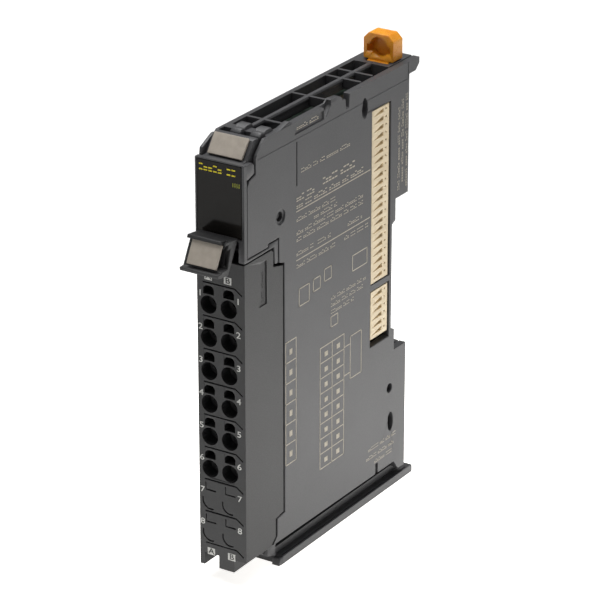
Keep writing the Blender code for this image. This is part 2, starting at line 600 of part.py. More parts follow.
def make_block_housing():
    """The block's housing with wire entries, release holes, clamp cavities and lever ears."""
    housing = sheets("block_housing", [(BLOCK_OUTLINE, -BLOCK_HALF, BLOCK_HALF)], BLOCK_PLASTIC, block_pivot)
    ear = [(4.9, BLOCK_TOP - 1), (8.2, BLOCK_TOP - 1), (8.2, 78.6), (7.4, 79.4), (5.6, 79.4), (4.9, 78.6)]
    join(housing,
         sheets("block_feet", block_legs()),
         sheets("lever_ears", [(ear, -4.1, -3.45), (ear, 3.45, 4.1)]))
    entries = []
    cavities = []
    releases = []
    for _, x, z in poles():
        entries.append(((x, -0.6, z), (x, WIRE_FUNNEL_DEPTH, z), WIRE_RADIUS + 0.2, WIRE_THROAT))
        cavities.append(((x - 1.7, BLOCK_CAVITY, z - 2.35), (x + 1.7, BLOCK_SPLIT + 1, z + 2.0)))
        releases.append(((x - RELEASE_WIDTH / 2, -1.0, z + RELEASE_RISE - RELEASE_HEIGHT / 2),
                         (x + RELEASE_WIDTH / 2, 6.4, z + RELEASE_RISE + RELEASE_HEIGHT / 2)))
    throats = [((x, 1.5, z), (x, BLOCK_CAVITY + 0.5, z), WIRE_THROAT) for _, x, z in poles()]
    drops = [((x - 1.1, 5.6, z + 1.5), (x + 1.1, BLOCK_SPLIT - 0.6, z + RELEASE_RISE + 1.0))
             for _, x, z in poles()]
    cut(housing,
        boxes("carrier_pocket", [((-4.95, BLOCK_SPLIT, 13.0), (4.95, BLOCK_BACK + 1, 69.5))]),
        boxes("clamp_cavities", cavities),
        rods("wire_throats", throats, sides=12),
        rods("wire_entries", entries, sides=20),
        boxes("release_holes", releases),
        boxes("release_drops", drops),
        rods("lever_bearings", [((-5.0, *LEVER_PIVOT[1:]), (5.0, *LEVER_PIVOT[1:]), 0.85)]))
    return housing


def make_contact_carrier():
    """The insert that closes the block from behind and guides the header's pins."""
    carrier = boxes("contact_carrier", [((-4.7, CARRIER_FRONT, 13.3), (4.7, BLOCK_BACK - 0.2, 69.2))],
                    BLOCK_PLASTIC, block_pivot)
    cavities = [((x - 1.35, BLOCK_SPLIT - 1, z - 1.9), (x + 1.35, BLOCK_BACK + 1, z + 2.0))
                for _, x, z in poles()]
    cut(carrier, boxes("pin_cavities", cavities))


BAR_HALF = 1.1
BAR_UNDER = 1.15            # underside of the current bar above the wire's axis
BAR_THICK = 0.35
SPRING_THICK = 0.25
ARM_ROOT = (4.5, -1.75)     # where a clamp arm bends, from the wire's axis
ARM_TIP = (8.5, 0.9)
ARM_HALF = 0.95


def make_current_bars():
    """One tinned bar for each pole: clamping plate in front, two leaves round the pin behind."""
    heights = row_heights()
    for column, x in COLUMNS.items():
        plates = []
        leaves = []
        tabs = []
        for z in heights:
            under = z + BAR_UNDER
            top = under + BAR_THICK
            plates.append(((x - BAR_HALF, 4.0, under), (x + BAR_HALF, 11.4, top)))
            tabs.append(((x + 0.9, 9.5, under), (x + 1.5, 10.1, top)))
            for side in (-1, 1):
                edges = sorted((x + side * 0.6, x + side * 0.95))
                leaves.append(((edges[0], 10.6, z - 0.9), (edges[1], 13.8, top)))
        spine = ((x + 1.35, 9.4, heights[-1] + BAR_UNDER - 0.1),
                 (x + 1.7, 10.2, heights[0] + BAR_UNDER + BAR_THICK + 0.1))
        bars = boxes(f"current_bars_{column}", plates, TINNED_COPPER, block_pivot)
        join(bars, boxes(f"pin_leaves_{column}", leaves), boxes(f"bar_tabs_{column}", tabs),
             boxes(f"bar_strip_{column}", [spine]))


LEG_UNDER = -2.2            # underside of a spring's fixed leg, from the wire's axis


def make_clamp_anchors():
    """The fixed leg of each clamp spring, on the floor of its cavity."""
    heights = row_heights()
    for column, x in COLUMNS.items():
        legs = []
        tabs = []
        for z in heights:
            low = z + LEG_UNDER
            legs.append(((x - 1.0, 4.1, low), (x + 1.0, 9.8, low + SPRING_THICK)))
            tabs.append(((x - 1.5, 9.4, low), (x - 0.8, 9.7, low + SPRING_THICK)))
        spine = ((x - 1.65, 9.3, heights[-1] + LEG_UNDER - 0.1),
                 (x - 1.3, 9.9, heights[0] + LEG_UNDER + SPRING_THICK + 0.1))
        anchors = boxes(f"clamp_anchors_{column}", legs, SPRING_STEEL, block_pivot)
        join(anchors, boxes(f"anchor_tabs_{column}", tabs), boxes(f"anchor_strip_{column}", [spine]))


def make_clamp_arms():
    """The arm of each clamp spring, which grips the wire and turns about the spring's bend."""
    run = Vector((ARM_TIP[0] - ARM_ROOT[0], ARM_TIP[1] - ARM_ROOT[1]))
    side = Vector((-run.y, run.x)).normalized() * SPRING_THICK / 2
    for name, x, z in poles():
        root = (x, ARM_ROOT[0], z + ARM_ROOT[1])
        joint = make_empty(f"clamp_pivot_{name}", root, block_pivot)
        start = Vector(root[1:])
        end = start + run
        outline = [tuple(start + side), tuple(start - side), tuple(end - side), tuple(end + side)]
        sheets(f"clamp_arm_{name}", [(outline, x - ARM_HALF, x + ARM_HALF)], SPRING_STEEL, joint)


# -------------------------------------------------------------------- the lock lever
LEVER_HALF = 4.75
SLOPE_FOOT = (-6.55, 75.0)          # the lever's face behind its marker
SLOPE_HEAD = (-3.75, 80.4)


def make_lock_lever():
    """The lock lever with its marker pocket, arm, hub and trunnions."""
    hinge = make_empty("lock_lever_pivot", LEVER_PIVOT, block_pivot)
    body = [(-0.4, 80.7), (-4.8, 81.2), (-5.2, 80.5), SLOPE_HEAD, SLOPE_FOOT,
            (-7.9, 75.0), (-7.8, 74.2), (-4.2, 73.7)]
    lever = sheets("lock_lever", [(body, -LEVER_HALF, LEVER_HALF)], BLOCK_PLASTIC, hinge)
    arm = [(-3.0, 79.2), (LEVER_PIVOT[1], 79.2), (LEVER_PIVOT[1], 77.4), (-3.0, 77.4)]
    pocket = [(-4.6, 79.2), (-3.1, 79.4), (-4.4, 75.3), (-6.6, 75.3)]
    join(lever,
         sheets("lever_arm", [(arm, -3.1, 3.1)]),
         rods("lever_hub", [((-3.1, *LEVER_PIVOT[1:]), (3.1, *LEVER_PIVOT[1:]), 1.25)]),
         rods("lever_trunnions", [((-3.9, *LEVER_PIVOT[1:]), (3.9, *LEVER_PIVOT[1:]), 0.6)]))
    cut(lever, sheets("lever_side_pocket", [(pocket, 2.6, LEVER_HALF + 1)]))
    slope_plate("lever_marker", SLOPE_FOOT, SLOPE_HEAD, 4.1, 0.65, 0.2, MARKER_PLASTIC, hinge, trim=0.45)
    return lever


# ------------------------------------------------------------------------- the whole
make_case_left()
make_case_right()
make_front_bezel()
make_front_parts()
make_board()
make_bus_connector("signal", SIGNAL_TOP, SIGNAL_WAYS)
make_bus_connector("power", POWER_TOP, POWER_WAYS)
make_terminal_header()
make_din_hook()
make_block_housing()
make_contact_carrier()
make_current_bars()
make_clamp_anchors()
make_clamp_arms()
make_lock_lever()
bpy.context.view_layer.update()
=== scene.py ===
import json
import math
import random

import bmesh
import bpy
from mathutils import Matrix, Vector


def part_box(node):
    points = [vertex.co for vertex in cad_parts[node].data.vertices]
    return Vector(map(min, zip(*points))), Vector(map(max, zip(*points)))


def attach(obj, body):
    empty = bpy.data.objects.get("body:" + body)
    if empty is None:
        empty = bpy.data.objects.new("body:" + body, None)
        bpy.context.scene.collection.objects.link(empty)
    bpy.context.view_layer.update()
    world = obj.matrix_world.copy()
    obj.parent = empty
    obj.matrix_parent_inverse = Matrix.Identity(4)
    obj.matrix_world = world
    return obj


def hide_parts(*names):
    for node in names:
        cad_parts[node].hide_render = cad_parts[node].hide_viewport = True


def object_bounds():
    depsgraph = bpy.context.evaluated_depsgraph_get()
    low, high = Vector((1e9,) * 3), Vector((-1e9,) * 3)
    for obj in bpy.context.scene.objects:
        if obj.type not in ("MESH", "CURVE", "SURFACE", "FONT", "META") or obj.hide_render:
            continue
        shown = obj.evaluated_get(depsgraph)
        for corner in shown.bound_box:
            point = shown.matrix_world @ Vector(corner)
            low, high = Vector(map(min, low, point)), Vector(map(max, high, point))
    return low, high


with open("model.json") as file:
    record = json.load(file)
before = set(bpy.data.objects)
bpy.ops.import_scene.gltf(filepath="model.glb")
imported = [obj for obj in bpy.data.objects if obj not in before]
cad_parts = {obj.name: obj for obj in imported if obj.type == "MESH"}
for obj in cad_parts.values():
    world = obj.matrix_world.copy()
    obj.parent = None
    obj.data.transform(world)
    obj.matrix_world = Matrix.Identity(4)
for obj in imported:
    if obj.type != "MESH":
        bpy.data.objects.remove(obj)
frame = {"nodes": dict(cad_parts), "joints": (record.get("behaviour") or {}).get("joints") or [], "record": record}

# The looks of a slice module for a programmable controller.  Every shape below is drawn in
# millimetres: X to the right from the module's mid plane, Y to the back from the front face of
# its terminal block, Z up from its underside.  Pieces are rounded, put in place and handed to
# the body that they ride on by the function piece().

CAD_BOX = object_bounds()

MM = 0.001
HOME = Vector((0.0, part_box("block_housing")[0].y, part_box("case_left")[0].z))
TO_ROW = Matrix.Translation(HOME) @ Matrix.Scale(MM, 4)
TO_MM = TO_ROW.inverted()


def reach(node):
    """Lowest and highest corner of a CAD node, in millimetres."""
    return tuple(TO_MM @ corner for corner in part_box(node))


def turning_points(kind):
    """The clamping points by name, each with the X and Z of its wire's axis."""
    drop = Vector((0.0, 0.0, 1.75))          # a clamp bends this far under the wire's axis
    found = {}
    for joint in frame["joints"]:
        if joint["name"].startswith(kind):
            point = TO_MM @ Vector(joint["pos_m"]) + drop
            found[joint["child"]] = (point.x, point.z)
    return found


POLES = turning_points("clamp_")
LEFT_COLUMN = min(x for x, _ in POLES.values())
RIGHT_COLUMN = max(x for x, _ in POLES.values())
ROW_HEIGHTS = sorted({round(z, 3) for _, z in POLES.values()}, reverse=True)
ROW_PITCH = ROW_HEIGHTS[0] - ROW_HEIGHTS[1]
BLANK_HEIGHTS = [ROW_HEIGHTS[-1] - ROW_PITCH * step for step in (1, 2)]

HALF = reach("case_right")[1].x              # the right side face
LEFT_FACE = reach("case_left")[0].x
BLOCK_HALF = reach("block_housing")[1].x


# -------------------------------------------------------------------------------- mesh tools
OUTLINE_AXES = {"X": (1, 2, 0), "Y": (0, 2, 1), "Z": (0, 1, 2)}


def prism_into(bm, outline, low, high, along="X"):
    """Add an outline, drawn in the two other axes, with a thickness along one axis."""
    u, v, w = OUTLINE_AXES[along]
    rings = []
    for level in (low, high):
        ring = []
        for a, b in outline:
            point = [0.0, 0.0, 0.0]
            point[u], point[v], point[w] = a, b, level
            ring.append(bm.verts.new(point))
        rings.append(ring)
    faces = [bm.faces.new(rings[0]), bm.faces.new(rings[1][::-1])]
    for i, (a, b) in enumerate(zip(rings[0], rings[1])):
        j = (i + 1) % len(outline)
        faces.append(bm.faces.new((a, b, rings[1][j], rings[0][j])))
    bmesh.ops.recalc_face_normals(bm, faces=faces)


def prisms(outlines, along="X"):
    """Prisms in one mesh, from (outline, low, high)."""
    bm = bmesh.new()
    for outline, low, high in outlines:
        prism_into(bm, outline, low, high, along)
    return as_mesh(bm)


def boxes(corners):
    """Boxes in one mesh, from (low corner, high corner)."""
    bm = bmesh.new()
    for low, high in corners:
        size = Vector(high) - Vector(low)
        middle = (Vector(high) + Vector(low)) / 2
        bmesh.ops.create_cube(bm, size=1.0, matrix=Matrix.Translation(middle) @ Matrix.Diagonal((*size, 1.0)))
    return as_mesh(bm)


def rods(runs, sides=32):
    """Cylinders or cones in one mesh, from (start, end, radius[, end radius])."""
    bm = bmesh.new()
    for start, end, *radii in runs:
        a, b = Vector(start), Vector(end)
        turn = (b - a).to_track_quat("Z", "Y").to_matrix().to_4x4()
        bmesh.ops.create_cone(bm, cap_ends=True, segments=sides, radius1=radii[0], radius2=radii[-1],
                              depth=(b - a).length, matrix=Matrix.Translation((a + b) / 2) @ turn)
    return as_mesh(bm)


def as_mesh(bm):
    """Turn working geometry into a mesh."""
    mesh = bpy.data.meshes.new("shape")
    bm.to_mesh(mesh)
    bm.free()
    return mesh


def strip_outline(route, thickness):
    """The outline of a bent strip, from the middle line that it follows."""
    sides = ([], [])
    points = [Vector(point) for point in route]
    for i, point in enumerate(points):
        before, after = points[max(i - 1, 0)], points[min(i + 1, len(points) - 1)]
        run = (after - before).normalized()
        out = Vector((-run.y, run.x)) * thickness / 2
        sides[0].append(tuple(point + out))
        sides[1].append(tuple(point - out))
    return sides[0] + sides[1][::-1]


def arc(centre, radius, start, end, steps=8):
    """Points along an arc between two angles in degrees."""
    angles = [math.radians(start + (end - start) * i / steps) for i in range(steps + 1)]
    return [(centre[0] + radius * math.cos(a), centre[1] + radius * math.sin(a)) for a in angles]


def cad_shape(node):
    """A copy of a CAD node's mesh in millimetres, its flat faces made whole."""
    mesh = frame["nodes"][node].data.copy()
    mesh.transform(TO_MM)
    bm = bmesh.new()
    bm.from_mesh(mesh)
    bpy.data.meshes.remove(mesh)
    bmesh.ops.remove_doubles(bm, verts=bm.verts, dist=0.001)
    bmesh.ops.dissolve_limit(bm, angle_limit=math.radians(0.5), verts=bm.verts, edges=bm.edges)
    return as_mesh(bm)


def temporary(mesh):
    """A throwaway object that carries a mesh while modifiers work on it."""
    obj = bpy.data.objects.new("temporary", mesh)
    bpy.context.scene.collection.objects.link(obj)
    return obj


def evaluated(obj):
    """The mesh that an object's modifiers make."""
    graph = bpy.context.evaluated_depsgraph_get()
    return bpy.data.meshes.new_from_object(obj.evaluated_get(graph))


def worked(mesh, adds=(), cuts=()):
    """Join some shapes on, then cut some out."""
    base = temporary(mesh)
    tools = []
    for shapes, operation in ((adds, "UNION"), (cuts, "DIFFERENCE")):
        for shape in shapes:
            tool = temporary(shape)
            change = base.modifiers.new(operation, "BOOLEAN")
            change.operation = operation
            change.solver = "EXACT"
            change.object = tool
            tools.append(tool)
    made = evaluated(base)
    for obj in (base, *tools):
        bpy.data.objects.remove(obj)
    return made


ROUND_FROM = math.radians(32)      # edges sharper than this are rounded
SHARP_FROM = math.radians(28)      # and these stay sharp in the shading
LARGE_FACE = 12 * MM * MM          # faces over 12 square millimetres are flat
ROOM = 2.3                         # free width that an edge needs beside it, in radii
ROOM_ACROSS = 0.8                  # share of that width that an opposite edge may leave
IN_LINE = 0.75                     # a point this close to an edge's own line carries it on
MERGE = 0.002                      # points closer than this, in millimetres, are one


def off_segment(point, a, b):
    """Distance from a point to a segment, and whether the point lies past its ends in line."""
    run = b - a
    t = (point - a).dot(run) / run.length_squared
    away = (point - (a + run * min(max(t, 0.0), 1.0))).length
    in_line = not 0.0 < t < 1.0 and (point - (a + run * t)).length < IN_LINE * away
    return away, in_line


def has_room(edge, radius):
    """Whether the faces on both sides of an edge leave room to round it."""
    if len(edge.link_faces) != 2 or edge.calc_face_angle() < ROUND_FROM:
        return False
    ends = [vert.co for vert in edge.verts]
    middle = (ends[0] + ends[1]) / 2
    for face in edge.link_faces:
        for vert in face.verts:
            if vert not in edge.verts:
                away, in_line = off_segment(vert.co, *ends)
                if away < ROOM * radius and not in_line:
                    return False
        for other in face.edges:
            if not set(other.verts) & set(edge.verts):
                far = [vert.co for vert in other.verts]
                across = [off_segment(point, *far)[0] for point in (*ends, middle)]
                if min(across) < ROOM * radius * ROOM_ACROSS:
                    return False
    return True


def rounded(mesh, radius, segments=2):
    """Round a mesh's edges to a radius in millimetres, wherever the shape leaves room."""
    bm = bmesh.new()
    bm.from_mesh(mesh)
    bmesh.ops.remove_doubles(bm, verts=bm.verts, dist=MERGE)
    bmesh.ops.dissolve_limit(bm, angle_limit=math.radians(0.5), verts=bm.verts, edges=bm.edges)
    bm.normal_update()
    share = bm.edges.layers.float.new("bevel_weight_edge")
    for edge in bm.edges:
        edge[share] = 1.0 if has_room(edge, radius) else 0.0
    obj = temporary(as_mesh(bm))
    soften = obj.modifiers.new("edges", "BEVEL")
    soften.width = radius
    soften.segments = segments
    soften.limit_method = "WEIGHT"
    soften.use_clamp_overlap = False
    soften.loop_slide = True
    soften.miter_outer = "MITER_SHARP"
    made = evaluated(obj)
    bpy.data.objects.remove(obj)
    return made


def piece(name, mesh, material, body, replaces=(), edge=0.0, segments=2):
    """Finish a shape: round it, put it in its place and let it ride on its body."""
    made = rounded(mesh, edge, segments) if edge else mesh
    made.transform(TO_ROW)
    made.materials.clear()
    made.materials.append(material)
    made.set_sharp_from_angle(angle=SHARP_FROM)
    for face in made.polygons:
        face.use_smooth = face.area < LARGE_FACE
    obj = bpy.data.objects.new(name, made)
    bpy.context.scene.collection.objects.link(obj)
    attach(obj, body)
    if replaces:
        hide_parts(*replaces)


# --------------------------------------------------------------------------------- materials
def linear(colour):
    """An sRGB hex colour as linear RGBA."""
    channels = [int(colour[i:i + 2], 16) / 255 for i in (0, 2, 4)]
    return (*(c / 12.92 if c <= 0.04045 else ((c + 0.055) / 1.055) ** 2.4 for c in channels), 1.0)


def per(size):
    """A pattern's scale for features of this size in millimetres."""
    return 1 / (size * MM)


def add(tree, kind, inputs=None, **settings):
    """Add a node with its settings; an input takes a value, or a link where it is given a socket."""
    node = tree.nodes.new(kind)
    for name, value in settings.items():
        setattr(node, name, value)
    for name, value in (inputs or {}).items():
        if isinstance(value, bpy.types.NodeSocket):
            tree.links.new(value, node.inputs[name])
        else:
            node.inputs[name].default_value = value
    return node


GLOW_MIDDLE = (0.025, 0.025, CAD_BOX[0].z)     # where the painted glow on the floor is brightest, beside the module
GLOW_REACH = (0.02, 0.18)                      # full glow up to here, none from there on, in metres
GLOW = (1.3, 0.0)                              # its strength at the two


def begin(name, sockets):
    """A material with its shader's own sockets set; returns it, its nodes, shader and position."""
    made = bpy.data.materials.new(name)
    made.use_nodes = True
    tree = made.node_tree
    shader = tree.nodes["Principled BSDF"]
    for socket, value in sockets.items():
        shader.inputs[socket].default_value = value
    return made, tree, shader, add(tree, "ShaderNodeTexCoord").outputs["Object"]


def patches(tree, shader, where, size, dark, light):
    """Slow drift between two colours over patches of a size in millimetres."""
    cloud = add(tree, "ShaderNodeTexNoise", {"Vector": where, "Scale": per(size), "Detail": 3.0})
    ramp = add(tree, "ShaderNodeValToRGB", {"Fac": cloud.outputs["Fac"]})
    for stop, (position, colour) in zip(ramp.color_ramp.elements, ((0.3, dark), (0.7, light))):
        stop.position = position
        stop.color = linear(colour)
    tree.links.new(ramp.outputs["Color"], shader.inputs["Base Color"])


def grain(tree, shader, where, size, height, detail=2.0, rough=None):
    """A skin of small lumps, as a spark-eroded mould leaves; rough is its range of roughness."""
    lumps = add(tree, "ShaderNodeTexNoise", {"Vector": where, "Scale": per(size), "Detail": detail})
    bump = add(tree, "ShaderNodeBump", {
        "Height": lumps.outputs["Fac"], "Distance": height * MM, "Strength": 1.0})
    tree.links.new(bump.outputs["Normal"], shader.inputs["Normal"])
    if rough:
        spread = add(tree, "ShaderNodeMapRange", {
            "Value": lumps.outputs["Fac"], "From Min": 0.35, "From Max": 0.65,
            "To Min": rough[0], "To Max": rough[1]})
        tree.links.new(spread.outputs["Result"], shader.inputs["Roughness"])


def filled_polyester(name, dark, light, rough):
    """Glass-filled PBT from a spark-eroded mould: a dry, even grey sheen with a fine grain.

    The real grain is about 0.05 mm across; it is drawn at 0.22 mm so that it shows."""
    made, tree, shader, where = begin(name, {"IOR": 1.55, "Specular IOR Level": 0.5})
    patches(tree, shader, where, 14.0, dark, light)
    grain(tree, shader, where, 0.22, 0.008, rough=rough)
    return made


def smoked_polycarbonate():
    """Polycarbonate, tinted and polished in the mould: almost black, with a clean gloss."""
    made, tree, shader, where = begin("smoked polycarbonate", {"IOR": 1.58, "Specular IOR Level": 0.14})
    patches(tree, shader, where, 9.0, "171513", "1D1B19")
    grain(tree, shader, where, 3.0, 0.002, rough=(0.10, 0.16))
    return made


def marker_polyamide():
    """Polyamide marker plate, injection moulded: flat warm grey, slightly mottled, no shine."""
    made, tree, shader, where = begin("marker polyamide", {"IOR": 1.53})
    patches(tree, shader, where, 1.6, "9C9489", "A89F94")
    grain(tree, shader, where, 0.25, 0.006, rough=(0.5, 0.62))
    return made


def orange_acetal():
    """Acetal in signal orange: waxy and a little translucent, so its thin walls glow."""
    made, tree, shader, where = begin("orange acetal", {
        "IOR": 1.48, "Subsurface Weight": 0.25, "Subsurface Scale": 1.2 * MM,
        "Subsurface Radius": (1.0, 0.45, 0.1)})
    patches(tree, shader, where, 3.0, "D98A18", "E69C26")
    grain(tree, shader, where, 0.3, 0.004, rough=(0.26, 0.38))
    return made


def ivory_liquid_crystal_polymer():
    """Liquid crystal polymer of the bus sockets: ivory, with faint streaks where it flowed."""
    made, tree, shader, where = begin("ivory liquid crystal polymer", {"IOR": 1.6})
    stretch = add(tree, "ShaderNodeMapping", {"Vector": where, "Scale": (1.0, 0.25, 1.0)})
    patches(tree, shader, stretch.outputs["Vector"], 1.2, "D2BF9C", "E2D1B0")
    grain(tree, shader, where, 0.25, 0.004, rough=(0.42, 0.55))
    return made


def gilt_bronze():
    """Phosphor bronze strip with a gold flash: warm, bright along the bends, faint rolling marks."""
    made, tree, shader, where = begin("gilt phosphor bronze", {"Metallic": 1.0})
    along = add(tree, "ShaderNodeMapping", {"Vector": where, "Scale": (1.0, 0.1, 1.0)})
    patches(tree, shader, along.outputs["Vector"], 0.4, "C79A45", "E0B865")
    grain(tree, shader, along.outputs["Vector"], 0.12, 0.002, rough=(0.22, 0.36))
    return made


def tinned_copper():
    """Copper bar with matt electroplated tin: pale, soft grey, with a fine crystal speckle."""
    made, tree, shader, where = begin("tinned copper", {"Metallic": 1.0})
    patches(tree, shader, where, 0.5, "A9A69D", "C2BFB6")
    grain(tree, shader, where, 0.15, 0.002, rough=(0.34, 0.46))
    return made


def spring_steel():
    """Stainless spring strip, cold rolled: bright, with rolling lines along its length."""
    made, tree, shader, where = begin("rolled spring steel", {"Metallic": 1.0})
    along = add(tree, "ShaderNodeMapping", {"Vector": where, "Scale": (1.0, 0.06, 0.06)})
    patches(tree, shader, along.outputs["Vector"], 0.3, "9C9CA0", "B8B8BA")
    grain(tree, shader, along.outputs["Vector"], 0.1, 0.003, rough=(0.2, 0.34))
    return made


def board_laminate():
    """Glass-epoxy laminate under nearly black solder resist: tracks show as raised, dark green."""
    made, tree, shader, where = begin("solder resist on laminate", {"IOR": 1.5, "Coat Weight": 0.3})
    flat = add(tree, "ShaderNodeMapping", {"Vector": where, "Rotation": (0.0, math.pi / 2, 0.0)})
    tracks = add(tree, "ShaderNodeTexBrick", {
        "Vector": flat.outputs["Vector"], "Scale": per(10.0), "Mortar Size": 0.06, "Mortar Smooth": 0.1,
        "Brick Width": 0.9, "Row Height": 0.22, "Color1": linear("08110C"), "Color2": linear("0A140E"),
        "Mortar": linear("12281B")})
    tree.links.new(tracks.outputs["Color"], shader.inputs["Base Color"])
    bump = add(tree, "ShaderNodeBump", {"Height": tracks.outputs["Fac"], "Distance": 0.035 * MM})
    tree.links.new(bump.outputs["Normal"], shader.inputs["Normal"])
    shader.inputs["Roughness"].default_value = 0.35
    return made


def transfer_epoxy():
    """Epoxy of the chips and the pin header, transfer moulded: charcoal, dry, with a fine tooth."""
    made, tree, shader, where = begin("transfer moulded epoxy", {"IOR": 1.55})
    patches(tree, shader, where, 1.5, "18181A", "232326")
    grain(tree, shader, where, 0.18, 0.006, rough=(0.55, 0.72))
    return made


def sintered_ferrite():
    """Sintered ferrite of the wound parts: dark, stony, with open pores."""
    made, tree, shader, where = begin("sintered ferrite", {"IOR": 2.0})
    patches(tree, shader, where, 0.8, "2D2C30", "454449")
    pores = add(tree, "ShaderNodeTexVoronoi", {"Vector": where, "Scale": per(0.35)})
    bump = add(tree, "ShaderNodeBump", {"Height": pores.outputs["Distance"], "Distance": 0.02 * MM})
    tree.links.new(bump.outputs["Normal"], shader.inputs["Normal"])
    shader.inputs["Roughness"].default_value = 0.66
    return made


def drawn_aluminium():
    """Aluminium capacitor can, deep drawn: rings round its axis and a bright end."""
    made, tree, shader, where = begin("drawn aluminium", {"Metallic": 1.0})
    rings = add(tree, "ShaderNodeMapping", {"Vector": where, "Scale": (1.0, 0.05, 0.05)})
    patches(tree, shader, where, 2.0, "B9BBBD", "D2D4D6")
    grain(tree, shader, rings.outputs["Vector"], 0.12, 0.003, rough=(0.24, 0.36))
    return made


def fired_ceramic():
    """Ceramic of the chip capacitors, fired: tan and speckled."""
    made, tree, shader, where = begin("fired ceramic", {"IOR": 1.7})
    patches(tree, shader, where, 0.4, "A88B60", "C4A87E")
    grain(tree, shader, where, 0.15, 0.005, rough=(0.4, 0.6))
    return made


def clear_acrylic():
    """Acrylic of the light guide, polished: clear, with a breath of haze."""
    made, tree, shader, where = begin("clear acrylic", {"IOR": 1.49, "Transmission Weight": 0.85})
    patches(tree, shader, where, 3.0, "DDE6E8", "EAF0F1")
    grain(tree, shader, where, 1.5, 0.002, rough=(0.05, 0.12))
    return made


def indicator_resin():
    """Water-clear resin of the status light, a little yellow and cloudy."""
    made, tree, shader, where = begin("indicator resin", {"IOR": 1.52, "Transmission Weight": 0.3})
    patches(tree, shader, where, 0.7, "E2EDCF", "EEF6E0")
    grain(tree, shader, where, 0.3, 0.003, rough=(0.2, 0.3))
    return made


def ink(name, dark, light):
    """Pad-printed ink: a thin matt film whose edge and density waver a little."""
    made, tree, shader, where = begin(name, {"IOR": 1.45})
    patches(tree, shader, where, 0.45, dark, light)
    grain(tree, shader, where, 0.15, 0.004, rough=(0.6, 0.8))
    return made


def pale_paper():
    """Pale paper, matt white, with a painted glow: its emission is strongest beside the module and lights it from
    below.
    """
    made, tree, shader, where = begin("pale paper with painted glow", {"Specular IOR Level": 0.1})
    patches(tree, shader, where, 120.0, "F3F3F2", "F6F6F5")
    grain(tree, shader, where, 2.0, 0.02, rough=(0.85, 0.95))
    # painted glow: emission that fades with distance from a point beside the module, standing in for light on the
    # floor and under the module
    away = add(tree, "ShaderNodeVectorMath", {0: where, 1: GLOW_MIDDLE}, operation="DISTANCE")
    glow = add(tree, "ShaderNodeMapRange", {
        "Value": away.outputs["Value"], "From Min": GLOW_REACH[0], "From Max": GLOW_REACH[1],
        "To Min": GLOW[0], "To Max": GLOW[1]}, interpolation_type="SMOOTHSTEP")
    tree.links.new(glow.outputs["Result"], shader.inputs["Emission Strength"])
    shader.inputs["Emission Color"].default_value = linear("FFFDFA")
    return made


CASE = filled_polyester("case polyester", "363638", "3C3C3E", (0.42, 0.52))
BLOCK = filled_polyester("terminal block polyester", "1D1D1E", "222223", (0.48, 0.58))
WINDOW = smoked_polycarbonate()
MARKER = marker_polyamide()
ORANGE = orange_acetal()
IVORY = ivory_liquid_crystal_polymer()
GILT = gilt_bronze()
TIN = tinned_copper()
STEEL = spring_steel()
LAMINATE = board_laminate()
EPOXY = transfer_epoxy()
FERRITE = sintered_ferrite()
ALUMINIUM = drawn_aluminium()
CERAMIC = fired_ceramic()
ACRYLIC = clear_acrylic()
INDICATOR = indicator_resin()
GREY_INK = ink("grey side print", "A8A091", "BDB5A6")
WHITE_INK = ink("white front print", "BDBDB9", "D2D2CE")
BLACK_INK = ink("black tile print", "2A2A2A", "353535")
YELLOW_INK = ink("yellow window print", "CDBB12", "E2D22A")
DIM_INK = ink("dim indicator print", "7E8226", "949833")

SLOT_FINISH = {
    "case_plastic": CASE, "block_plastic": BLOCK, "smoked_window": WINDOW, "marker_plastic": MARKER,
    "hook_plastic": ORANGE, "socket_plastic": IVORY, "contact_gold": GILT, "tinned_copper": TIN,
    "spring_steel": STEEL, "board_laminate": LAMINATE, "chip_resin": EPOXY, "ferrite": FERRITE,
    "can_aluminium": ALUMINIUM, "ceramic": CERAMIC, "clear_acrylic": ACRYLIC, "led_resin": INDICATOR,
}


def dress_cad_nodes():
    """Give each CAD node the finish of its slot in the record."""
    for part in frame["record"]["subparts"]:
        data = frame["nodes"][part["node"]].data
        data.materials.clear()
        data.materials.append(SLOT_FINISH[part["material_slot"]])


# ------------------------------------------------------------------------------------ the case
CASE_EDGE = 0.14            # radius of the case's moulded edges
CATCH_MIDDLES = [(46.8, 94.8), (58.8, 16.6)]     # the slots that the next module's catches enter
STUD_MIDDLE = (13.7, 81.0)                       # the upper stud hole in the side


def make_cover():
    """Right-hand cover: shallow step on top, label recess, latch tab, ramp, groove, notch and slots."""
    face = HALF + 1
    tab = [(31.0, 99.0), (33.4, 100.9), (36.9, 100.5), (37.5, 99.9), (37.5, 99.0)]
    ramp = [(10.6, 98.8), (12.4, 99.8), (17.3, 100.8), (18.3, 100.4), (18.3, 98.8)]
    notch = [(29.5, 101.2), (33.2, 101.2), (33.2, 99.6), (31.4, 97.7)]
    lenses = []
    for y, z in CATCH_MIDDLES:
        lens = [(y + 0.5 * u, z + v) for u, v in arc((0.0, 0.0), 2.3, 0, 345, 23)]
        lenses.append((lens, 4.0, face))
    stud_seat = rods([((HALF - 0.35, *STUD_MIDDLE), (face, *STUD_MIDDLE), 1.7)])
    mesh = worked(
        cad_shape("case_right"),
        adds=[prisms([(tab, 4.4, HALF - 0.08), (ramp, 4.5, HALF - 0.2)])],
        cuts=[boxes([((HALF - 0.07, 5.0, 96.2), (face, 64.9, 103.0))]),
              boxes([((HALF - 0.4, 19.3, 97.3), (face, 30.4, 99.3))]),
              boxes([((HALF - 0.35, 19.78, 85.8), (face, 20.02, 95.6))]),
              prisms([(notch, 4.8, face), *lenses]), stud_seat])
    piece("cover_shell", mesh, CASE, "case", ["case_right"], edge=CASE_EDGE)


